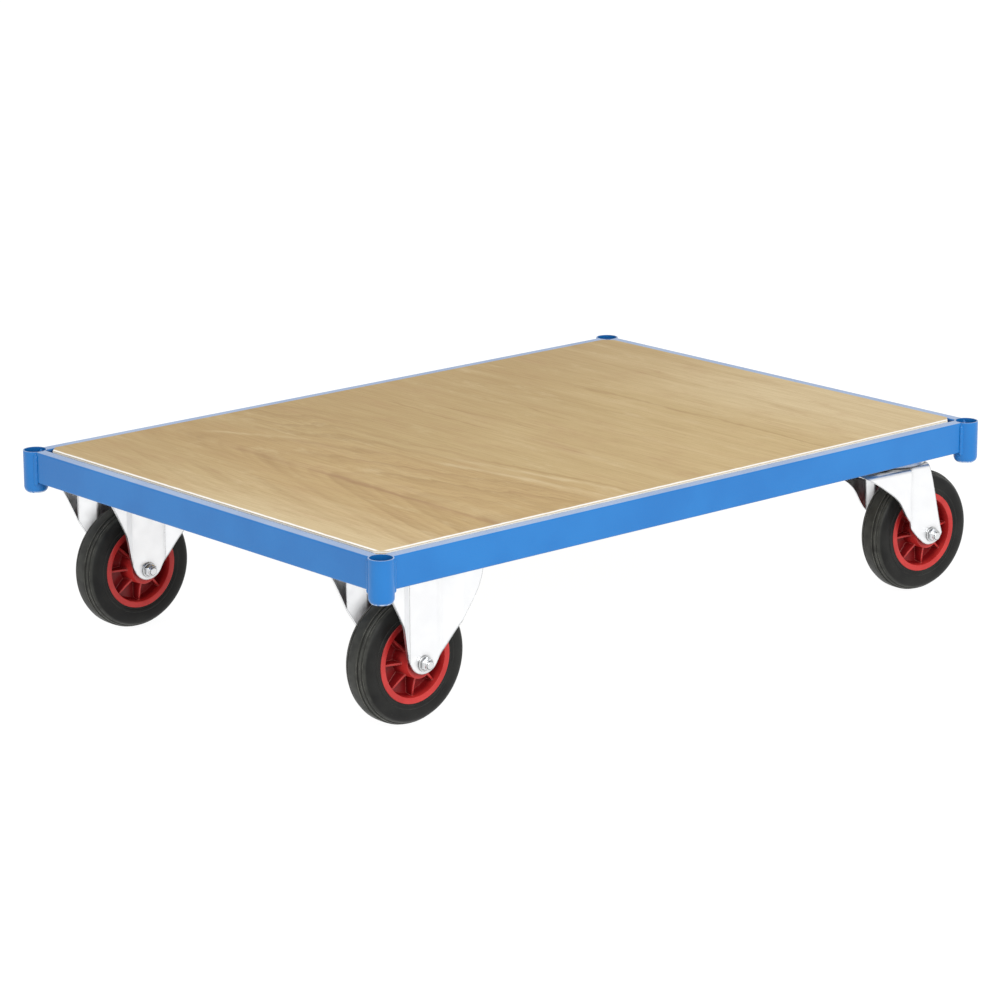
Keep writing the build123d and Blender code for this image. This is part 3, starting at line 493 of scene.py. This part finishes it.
class Shape:
    """Points and faces of one piece, put together from turned and swept solids (in mm)."""

    def __init__(self):
        self.points = []
        self.faces = []

    def rings(self, rings, place=Matrix(), around=True):
        """Skins a stack of equal rings; a ring of one point closes an end to a tip."""
        marks = []
        for ring in rings:
            marks.append(range(len(self.points), len(self.points) + len(ring)))
            self.points += [place @ Vector(point) for point in ring]
        pairs = list(zip(marks, marks[1:])) + ([(marks[-1], marks[0])] if around else [])
        for first, second in pairs:
            count = max(len(first), len(second))
            for step in range(count):
                after = (step + 1) % count
                if len(first) == 1:
                    face = (first[0], second[after], second[step])
                elif len(second) == 1:
                    face = (first[step], first[after], second[0])
                else:
                    face = (first[step], first[after], second[after], second[step])
                self.faces.append(face)

    def turned(self, profile, place=Matrix(), closed=True, steps=STEPS_AROUND):
        """A profile of (along, radius) spun about Z; either may be a function of the angle."""
        rings = []
        for along, radius in profile:
            if radius == 0:
                rings.append([(0, 0, along)])
                continue
            ring = []
            for step in range(steps):
                angle = 2 * math.pi * step / steps
                reach = radius(angle) if callable(radius) else radius
                height = along(angle) if callable(along) else along
                ring.append((reach * math.cos(angle), reach * math.sin(angle), height))
            rings.append(ring)
        self.rings(rings, place, closed)

    def build(self, name, slot_name, body, replaced, crease=CREASE):
        """Makes the object, smooth but for its creases, and puts it in the CAD's place."""
        mesh = bpy.data.meshes.new(name)
        mesh.from_pydata([point * MM for point in self.points], [], self.faces)
        mesh.materials.append(MATERIALS[slot_name])
        piece = bpy.data.objects.new(name, mesh)
        bpy.context.scene.collection.objects.link(piece)
        bpy.context.view_layer.objects.active = piece
        piece.select_set(True)
        bpy.ops.object.mode_set(mode="EDIT")
        bpy.ops.mesh.select_all(action="SELECT")
        bpy.ops.mesh.normals_make_consistent(inside=False)
        bpy.ops.object.mode_set(mode="OBJECT")
        bpy.ops.object.shade_smooth_by_angle(angle=math.radians(crease))
        piece.select_set(False)
        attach(piece, body)
        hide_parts(*replaced)
        return piece


# Hexagon fasteners: the angle of their chamfer, and radii as shares of the width across flats.
HEX_CHAMFER = 30.0
CHAMFER_START = 0.485
FACE_RADIUS = 0.475
SEAT_RADIUS = 0.47
DISH_FLOOR = 0.30
DISH_RIM = 0.34
THREAD_PITCH = 1.3
THREAD_DEPTH = 0.75
THREAD_RUNOUT = 1.4


def hexagon(flats):
    """Radius of a hexagon's outline as a function of the angle."""
    def radius(angle):
        within = (angle + math.pi / 6) % (math.pi / 3) - math.pi / 6
        return flats / 2 / math.cos(within)
    return radius


def chamfered(flats, height, base, up=1):
    """Height of a hexagon's outline where the chamfer's cone trims it."""
    outline = hexagon(flats)
    slope = math.tan(math.radians(HEX_CHAMFER))

    def along(angle):
        return base + up * (height - slope * (outline(angle) - CHAMFER_START * flats))
    return along


def hex_nut(shape, place, flats, height, bore, base=0.0):
    """A plain hexagon nut: chamfered on both faces and countersunk at its thread."""
    outline = hexagon(flats)
    profile = [
        (base, FACE_RADIUS * flats),
        (chamfered(flats, 0.0, base, -1), outline),
        (chamfered(flats, height, base), outline),
        (base + height, FACE_RADIUS * flats),
        (base + height, bore + 0.9),
        (base + height - 0.8, bore),
        (base + 0.8, bore),
        (base, bore + 0.9),
    ]
    shape.turned(profile, place)


def hex_bolt(shape, place, flats, height, shank, length, thread, base=0.0):
    """A hexagon bolt: chamfered head at the -Z end, shank, rings of thread and chamfered tip."""
    outline = hexagon(flats)
    profile = [
        (base - height + 0.5, 0),
        (base - height + 0.5, DISH_FLOOR * flats),
        (base - height, DISH_RIM * flats),
        (base - height, FACE_RADIUS * flats),
        (chamfered(flats, height, base, -1), outline),
        (base - 0.5, outline),
        (base - 0.4, SEAT_RADIUS * flats),
        (base, SEAT_RADIUS * flats),
        (base, shank),
    ]
    tip = base + length
    along = tip - thread
    root = shank - THREAD_DEPTH
    while along < tip - THREAD_RUNOUT:
        profile += [(along, shank), (along + 0.55, root), (along + 0.75, root)]
        along += THREAD_PITCH
    profile += [(tip - 1.0, shank - 0.05), (tip, shank - 1.1), (tip, 0)]
    shape.turned(profile, place, closed=False)


def washer(shape, place, outer, bore, thickness, base=0.0):
    """A flat washer with the rolled edge of its punched side."""
    profile = [
        (base, outer - 0.3),
        (base + 0.4, outer),
        (base + thickness - 0.3, outer),
        (base + thickness, outer - 0.5),
        (base + thickness, bore + 0.3),
        (base + thickness - 0.3, bore),
        (base, bore),
    ]
    shape.turned(profile, place)


# ---------------------------------------------------------------- wheels
# Half sections of the tyre and the wheel centre: distance from the middle plane and radius.
TYRE_HALF = [
    (0.0, 100.0),
    (5.0, 99.95),
    (8.2, 99.7),
    (9.2, 99.3),
    (9.8, 96.4),
    (10.4, 95.6),
    (11.6, 95.6),
    (12.2, 96.2),
    (12.6, 97.9),
    (13.4, 97.9),
    (15.2, 97.2),
    (15.8, 95.0),
    (16.3, 94.0),
    (17.4, 93.9),
    (18.0, 94.9),
    (19.4, 94.5),
    (21.2, 93.2),
    (22.8, 91.2),
    (24.0, 88.8),
    (24.8, 85.6),
    (25.0, 82.0),
    (24.8, 78.0),
    (24.3, 74.6),
    (24.1, 73.8),
    (24.4, 73.2),
    (25.0, 72.8),
    (25.0, 69.8),
    (24.4, 68.6),
    (23.9, 68.0),
    (23.8, 66.0),
    (23.4, 65.7),
    (16.0, 65.6),
    (14.0, 61.1),
    (0.0, 61.1),
]
CENTRE_HALF = [
    (0.0, 61.0),
    (14.0, 61.0),
    (16.0, 65.5),
    (23.9, 65.5),
    (24.5, 64.9),
    (24.5, 57.4),
    (24.1, 56.5),
    (23.2, 56.0),
    (10.0, 54.5),
    (5.0, 53.6),
    (3.7, 52.6),
    (3.5, 51.2),
    (3.5, 29.0),
    (4.0, 27.6),
    (5.6, 26.8),
    (35.0, 25.0),
    (35.8, 24.6),
    (36.0, 23.8),
    (36.0, 13.0),
    (35.2, 12.0),
    (0.0, 12.0),
]
TREAD_RADIUS = 93.0
RIB_COUNT = 8
RIB_HALF_THICKNESS = 1.7
RIB_ROUND = 0.7

# Radius and half width of a rib, from the hub to the rim.
RIB_REACH = ((24.2, 24.0), (40.0, 19.2), (57.0, 16.0))


def closed_half(half):
    """A closed ring of profile points from one half whose two ends lie on the middle."""
    return half + [(-along, radius) for along, radius in reversed(half[1:-1])]


def rib(shape, turn):
    """One rib of the wheel centre, between hub and rim, with rounded long edges."""
    rings = []
    for radius, half_width in RIB_REACH:
        flat = half_width - RIB_ROUND
        side = RIB_HALF_THICKNESS - RIB_ROUND / 2
        outline = [
            (side, flat + RIB_ROUND), (RIB_HALF_THICKNESS, flat),
            (RIB_HALF_THICKNESS, -flat), (side, -flat - RIB_ROUND),
            (-side, -flat - RIB_ROUND), (-RIB_HALF_THICKNESS, -flat),
            (-RIB_HALF_THICKNESS, flat), (-side, flat + RIB_ROUND),
        ]
        rings.append([(radius, across, along) for across, along in outline])
    first = [(rings[0][0][0], 0, 0)]
    last = [(rings[-1][0][0], 0, 0)]
    shape.rings([first, *rings, last], turn, around=False)


def wheel_place(wheel):
    """Puts a piece made about Z on a wheel's axle, its +Z end toward the axle's nut."""
    row = JOINTS[f"spin_{wheel}"]
    turn = Vector((0, 0, 1)).rotation_difference(-Vector(row["axis"])).to_matrix().to_4x4()
    return Matrix.Translation(Vector(row["pos_m"]) / MM) @ turn


def build_wheel(wheel):
    """The tyre, with its tread marked for the rubber, and the ribbed centre."""
    place = wheel_place(wheel)
    body = BODY_OF[f"tyre_{wheel}"]
    tyre = Shape()
    tyre.turned(closed_half(TYRE_HALF), place, steps=TYRE_STEPS)
    name = f"moulded_tyre_{wheel}"
    piece = tyre.build(name, "tyre_rubber", body, [f"tyre_{wheel}"], TYRE_CREASE)
    axle, axis = place.translation, place.col[2].xyz
    arms = [(point - axle) - axis * (point - axle).dot(axis) for point in tyre.points]
    mark = piece.data.attributes.new(TREAD_MARK, "FLOAT", "POINT")
    mark.data.foreach_set("value", [float(arm.length > TREAD_RADIUS) for arm in arms])
    centre = Shape()
    centre.turned(closed_half(CENTRE_HALF), place, steps=CENTRE_STEPS)
    for index in range(RIB_COUNT):
        turn = Matrix.Rotation(2 * math.pi * index / RIB_COUNT, 4, "Z")
        rib(centre, place @ turn)
    centre.build(f"moulded_centre_{wheel}", "red_plastic", body, [f"wheel_centre_{wheel}"])


# The axle, in mm: the fork leg's face, the washer's face and the bolt's tip are measured
# from the wheel's middle plane, and the washers are outer radius, bore and thickness.
AXLE_FLATS = 18.0
AXLE_RADIUS = 6.0
AXLE_HEAD = 7.5
AXLE_THREAD = 26.0
AXLE_END = 58.8
AXLE_WASHER = (12.0, 6.25, 2.2)
SHEET_FACE = 45.0
WASHER_FACE = 47.2
NUT_BORE = 6.05

# The nylon collar of the locking nut: height over the washer and radius.
NUT_COLLAR = (
    (7.4, 8.3),
    (7.6, 7.9),
    (9.4, 7.7),
    (10.0, 7.2),
    (10.0, 6.7),
    (9.6, NUT_BORE),
)


def build_axle(wheel):
    """The M12 axle bolt, and its two washers and nyloc nut."""
    place = wheel_place(wheel)
    body = BODY_OF[f"axle_bolt_{wheel}"]
    bolt = Shape()
    length = WASHER_FACE + AXLE_END
    hex_bolt(bolt, place, AXLE_FLATS, AXLE_HEAD, AXLE_RADIUS, length, AXLE_THREAD, -WASHER_FACE)
    bolt.build(f"threaded_axle_{wheel}", "zinc_fastener", body, [f"axle_bolt_{wheel}"])
    nut = Shape()
    washer(nut, place, *AXLE_WASHER, SHEET_FACE)
    washer(nut, place, *AXLE_WASHER, -WASHER_FACE)
    outline = hexagon(AXLE_FLATS)
    profile = [
        (WASHER_FACE, 8.6),
        (chamfered(AXLE_FLATS, 0.0, WASHER_FACE, -1), outline),
        (chamfered(AXLE_FLATS, 7.0, WASHER_FACE), outline),
        *((WASHER_FACE + height, radius) for height, radius in NUT_COLLAR),
        (WASHER_FACE, NUT_BORE),
    ]
    nut.turned(profile, place)
    nut.build(f"locking_nut_{wheel}", "zinc_fastener", body, [f"axle_nut_{wheel}"])


# ---------------------------------------------------------------- fasteners and welds
DECK_X = (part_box("deck_panel")[0].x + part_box("deck_panel")[1].x) / 2 / MM

# Heights in mm: the floor of the channels, where the washers lie, and the bolts' tips.
CHANNEL_FLOOR = 243.0
BOLT_TIP = 255.9

# Castor plates: middle from the deck's middle, half spans of the holes, underside height.
PLATES = (
    (-495.0, 336.0, 70.0, 40.0, 236.0),
    (525.0, 342.0, 52.5, 40.0, 235.5),
)

# Bolts through the castor plates; BOLT_TURN is how many degrees each stands off the last.
BOLT_FLATS = 17.0
BOLT_RADIUS = 5.0
BOLT_HEAD = 6.4
BOLT_THREAD = 12.0
BOLT_TURN = 17
BOLT_WASHER = (10.5, 5.5, 2.0)

# Height and bore of the bolts' nuts; width across flats, height and bore of the king nuts.
PLATE_NUT = (8.4, BOLT_RADIUS + 0.05)
KING_NUT = (24.0, 8.0, 8.05)

# Deck screws: places along and across the deck, and the turn in degrees from each to the next.
SCREW_LINES = (-565.0, -425.0, 0.0, 472.5, 577.5)
SCREW_ROWS = (-320.0, -110.0, 110.0, 320.0)
SCREW_TURNS = (37, 23)


def castor_holes():
    """Middle of every castor bolt and the height of its plate's underside."""
    for x, y, half_x, half_y, seat in PLATES:
        for side in SIDES.values():
            for along in (-half_x, half_x):
                for across in (-half_y, half_y):
                    yield Vector((DECK_X + x + along, side * y + across, 0)), seat


def build_castor_fasteners():
    """Bolts up through the castor plates and channels, their washers and their nuts."""
    bolts, washers, nuts = Shape(), Shape(), Shape()
    for index, (spot, seat) in enumerate(castor_holes()):
        turn = Matrix.Rotation(math.radians(BOLT_TURN * index), 4, "Z")
        place = Matrix.Translation(spot) @ turn
        length = BOLT_TIP - seat
        hex_bolt(bolts, place, BOLT_FLATS, BOLT_HEAD, BOLT_RADIUS, length, BOLT_THREAD, seat)
        washer(washers, place, *BOLT_WASHER, CHANNEL_FLOOR)
        hex_nut(nuts, place, BOLT_FLATS, *PLATE_NUT, CHANNEL_FLOOR + BOLT_WASHER[2])
    bolts.build("plate_bolts", "zinc_fastener", "chassis", ["castor_bolts"])
    washers.build("plate_washers", "zinc_fastener", "chassis", ["castor_washers"])
    nuts.build("plate_nuts", "zinc_fastener", "chassis", ["castor_nuts"])


def build_king_nuts():
    """The nut under each swivel castor's king pin."""
    nuts = Shape()
    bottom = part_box("king_pin_nuts")[0].z / MM
    for side in SIDES:
        spot = Vector(JOINTS[f"swivel_{side}"]["pos_m"]) / MM
        hex_nut(nuts, Matrix.Translation((spot.x, spot.y, 0)), *KING_NUT, bottom)
    nuts.build("swivel_pin_nuts", "zinc_fastener", "chassis", ["king_pin_nuts"])


def cross_recess(angle):
    """Outline of a cross-shaped driver recess."""
    arm = abs(math.cos(2 * angle))
    return 0.8 + 2.0 * arm**6


# Height over the floor and radius of a deck screw, from its recess to its tip.
SCREW_PROFILE = (
    (275.8, 0),
    (275.7, lambda angle: 0.6 * cross_recess(angle)),
    (274.45, cross_recess),
    (274.4, 3.2),
    (274.7, 4.3),
    (275.4, 4.8),
    (276.4, 5.0),
    (277.0, 4.9),
    (277.0, 2.4),
    (287.0, 2.4),
    (289.0, 0),
)


def build_deck_screws():
    """Pan-head screws with a cross recess, driven up through the channels into the deck."""
    screws = Shape()
    for row, x in enumerate(SCREW_LINES):
        for column, y in enumerate(SCREW_ROWS):
            angle = math.radians(SCREW_TURNS[0] * row + SCREW_TURNS[1] * column)
            turn = Matrix.Rotation(angle, 4, "Z")
            place = Matrix.Translation((DECK_X + x, y, 0)) @ turn
            screws.turned(SCREW_PROFILE, place, closed=False, steps=SCREW_STEPS)
    screws.build("cross_head_screws", "zinc_fastener", "chassis", ["deck_screws"])


# Half distances over the rails' outer faces and between the sockets' middles.
RAIL_HALVES = (623.0, 431.0)
SOCKET_SPOT = (613.0, 425.0)
SOCKET_RADIUS = 19.0

# Weld beads, in mm; each pair is along the rail and outward from it.
BEAD_BOTTOM = 235.6
BEAD_TOP = 286.8
BEAD_STEP = 0.55
BEAD_SIDES = 14
BEAD_REACH = (5.2, 3.4)
BEAD_OFFSET = (1.2, 0.4)
BEAD_TAPER = 4.0
BEAD_WANDER, WANDER_RATE = 0.25, 0.37
RIPPLE_PITCH = 2.6
RIPPLE_LOW, RIPPLE_SWELL = 0.90, 0.10


def weld_bead(shape, foot, along, outward):
    """One upright fillet weld between a rail's face and a socket, rippled along its length."""
    across = along * BEAD_OFFSET[0] + outward * BEAD_OFFSET[1]
    count = round((BEAD_TOP - BEAD_BOTTOM) / BEAD_STEP)
    rings = []
    for level in range(count + 1):
        height = BEAD_BOTTOM + BEAD_STEP * level
        phase = math.pi * (height % RIPPLE_PITCH) / RIPPLE_PITCH
        ripple = RIPPLE_LOW + RIPPLE_SWELL * math.sin(phase)
        from_end = min(level, count - level) * BEAD_STEP
        taper = math.sqrt(min(1.0, 0.15 + from_end / BEAD_TAPER))
        middle = foot + across + BEAD_WANDER * math.sin(WANDER_RATE * height) * along
        size = ripple * taper
        ring = []
        for step in range(BEAD_SIDES):
            angle = 2 * math.pi * step / BEAD_SIDES
            offset = along * (BEAD_REACH[0] * size * math.cos(angle))
            offset += outward * (BEAD_REACH[1] * size * math.sin(angle))
            ring.append(middle + offset + Vector((0, 0, height)))
        rings.append(ring)
    tips = [[sum(ring, Vector()) / len(ring)] for ring in (rings[0], rings[-1])]
    shape.rings([tips[0], *rings, tips[1]], around=False)


def build_welds():
    """Two upright beads at each socket: one on the side rail and one on the end rail."""
    half_x, half_y = RAIL_HALVES
    spot_x, spot_y = SOCKET_SPOT
    side_foot = spot_x - math.sqrt(SOCKET_RADIUS**2 - (half_y - spot_y) ** 2)
    end_foot = spot_y - math.sqrt(SOCKET_RADIUS**2 - (half_x - spot_x) ** 2)
    beads = Shape()
    middle = Vector((DECK_X, 0, 0))
    for end in ENDS.values():
        for side in SIDES.values():
            toward_end, toward_side = Vector((end, 0, 0)), Vector((0, side, 0))
            foot = middle + Vector((end * side_foot, side * half_y, 0))
            weld_bead(beads, foot, toward_end, toward_side)
            foot = middle + Vector((end * half_x, side * end_foot, 0))
            weld_bead(beads, foot, toward_side, toward_end)
    beads.build("rippled_weld_beads", "frame_paint", "chassis", ["socket_welds"], BEAD_CREASE)


for wheel in WHEELS:
    build_wheel(wheel)
    build_axle(wheel)
build_castor_fasteners()
build_king_nuts()
build_deck_screws()
build_welds()


# ---------------------------------------------------------------- floor, light, camera
WHITE = (1.0, 1.0, 1.0, 1.0)
FLOOR_HALF = 30.0
FLOOR_GLOW = 0.95
FLOOR_GREYS = ((0.11, 0.11, 0.11), (0.12, 0.12, 0.12))
SKY_GLOW = 0.85

# Lamps: place, target, size (all in metres), power in watts, and seen in shiny metal or not.
LAMPS = {
    "key_softbox": ((-1.6, -4.2, 2.6), (0.0, 0.0, 0.2), (3.0, 2.0), 120.0, True),
    "end_softbox": ((1.9, -2.6, 0.9), (0.62, -0.40, 0.22), (1.2, 1.0), 16.0, False),
    "fill_softbox": ((-4.5, -0.6, 1.8), (0.0, 0.0, 0.2), (2.0, 2.0), 25.0, True),
}

# The camera fitted to the photo: place in metres; azimuth, elevation and roll in degrees;
# lens and sensor in mm.
CAMERA_PLACE = (-3.9483, -4.4418, 1.7445)
CAMERA_ANGLES = (-41.3535, 14.762, -0.1967)
LENS_LENGTH = 138.06
SENSOR_WIDTH = 36.0
CAMERA_RANGE = 100.0


def floor():
    """A plain pale floor that glows, so that hardly any shadow shows on it."""
    mesh = bpy.data.meshes.new("floor")
    signs = ((-1, -1), (1, -1), (1, 1), (-1, 1))
    corners = [(FLOOR_HALF * x, FLOOR_HALF * y, 0) for x, y in signs]
    mesh.from_pydata(corners, [], [(0, 1, 2, 3)])
    plane = bpy.data.objects.new("floor", mesh)
    bpy.context.scene.collection.objects.link(plane)
    pale = Surface("pale_floor", Roughness=0.9, Specular_IOR_Level=0.1)
    pale.shader.inputs["Emission Color"].default_value = WHITE
    pale.shader.inputs["Emission Strength"].default_value = FLOOR_GLOW
    shade = pale.fade(pale.noise(0.6, 2.0), 0.3, 0.7)
    mesh.materials.append(pale.finish(Base_Color=pale.blend(shade, *FLOOR_GREYS)))


def soft_light(name, place, target, size, power, mirrored_in_metal):
    """A large rectangular lamp at a place, turned to a target."""
    lamp = bpy.data.lights.new(name, "AREA")
    lamp.shape = "RECTANGLE"
    lamp.size, lamp.size_y = size
    lamp.energy = power
    holder = bpy.data.objects.new(name, lamp)
    holder.location = place
    holder.visible_glossy = mirrored_in_metal
    holder.rotation_euler = (Vector(target) - Vector(place)).to_track_quat("-Z", "Y").to_euler()
    bpy.context.scene.collection.objects.link(holder)


def studio():
    """A white surround and three lamps."""
    world = bpy.data.worlds.new("studio")
    world.use_nodes = True
    sky = world.node_tree.nodes["Background"]
    sky.inputs["Color"].default_value = WHITE
    sky.inputs["Strength"].default_value = SKY_GLOW
    bpy.context.scene.world = world
    bpy.context.scene.view_settings.view_transform = "Standard"
    for name, settings in LAMPS.items():
        soft_light(name, *settings)


def camera():
    """A long lens from the front left corner, a little above the deck."""
    azimuth, elevation, roll = (math.radians(angle) for angle in CAMERA_ANGLES)
    lens = bpy.data.cameras.new("camera")
    lens.sensor_width = SENSOR_WIDTH
    lens.lens = LENS_LENGTH
    lens.clip_end = CAMERA_RANGE
    turn = Matrix.Rotation(azimuth, 4, "Z") @ Matrix.Rotation(math.pi / 2 - elevation, 4, "X")
    holder = bpy.data.objects.new("camera", lens)
    place = Matrix.Translation(CAMERA_PLACE)
    holder.matrix_world = place @ turn @ Matrix.Rotation(roll, 4, "Z")
    bpy.context.scene.collection.objects.link(holder)
    bpy.context.scene.camera = holder


floor()
studio()
camera()
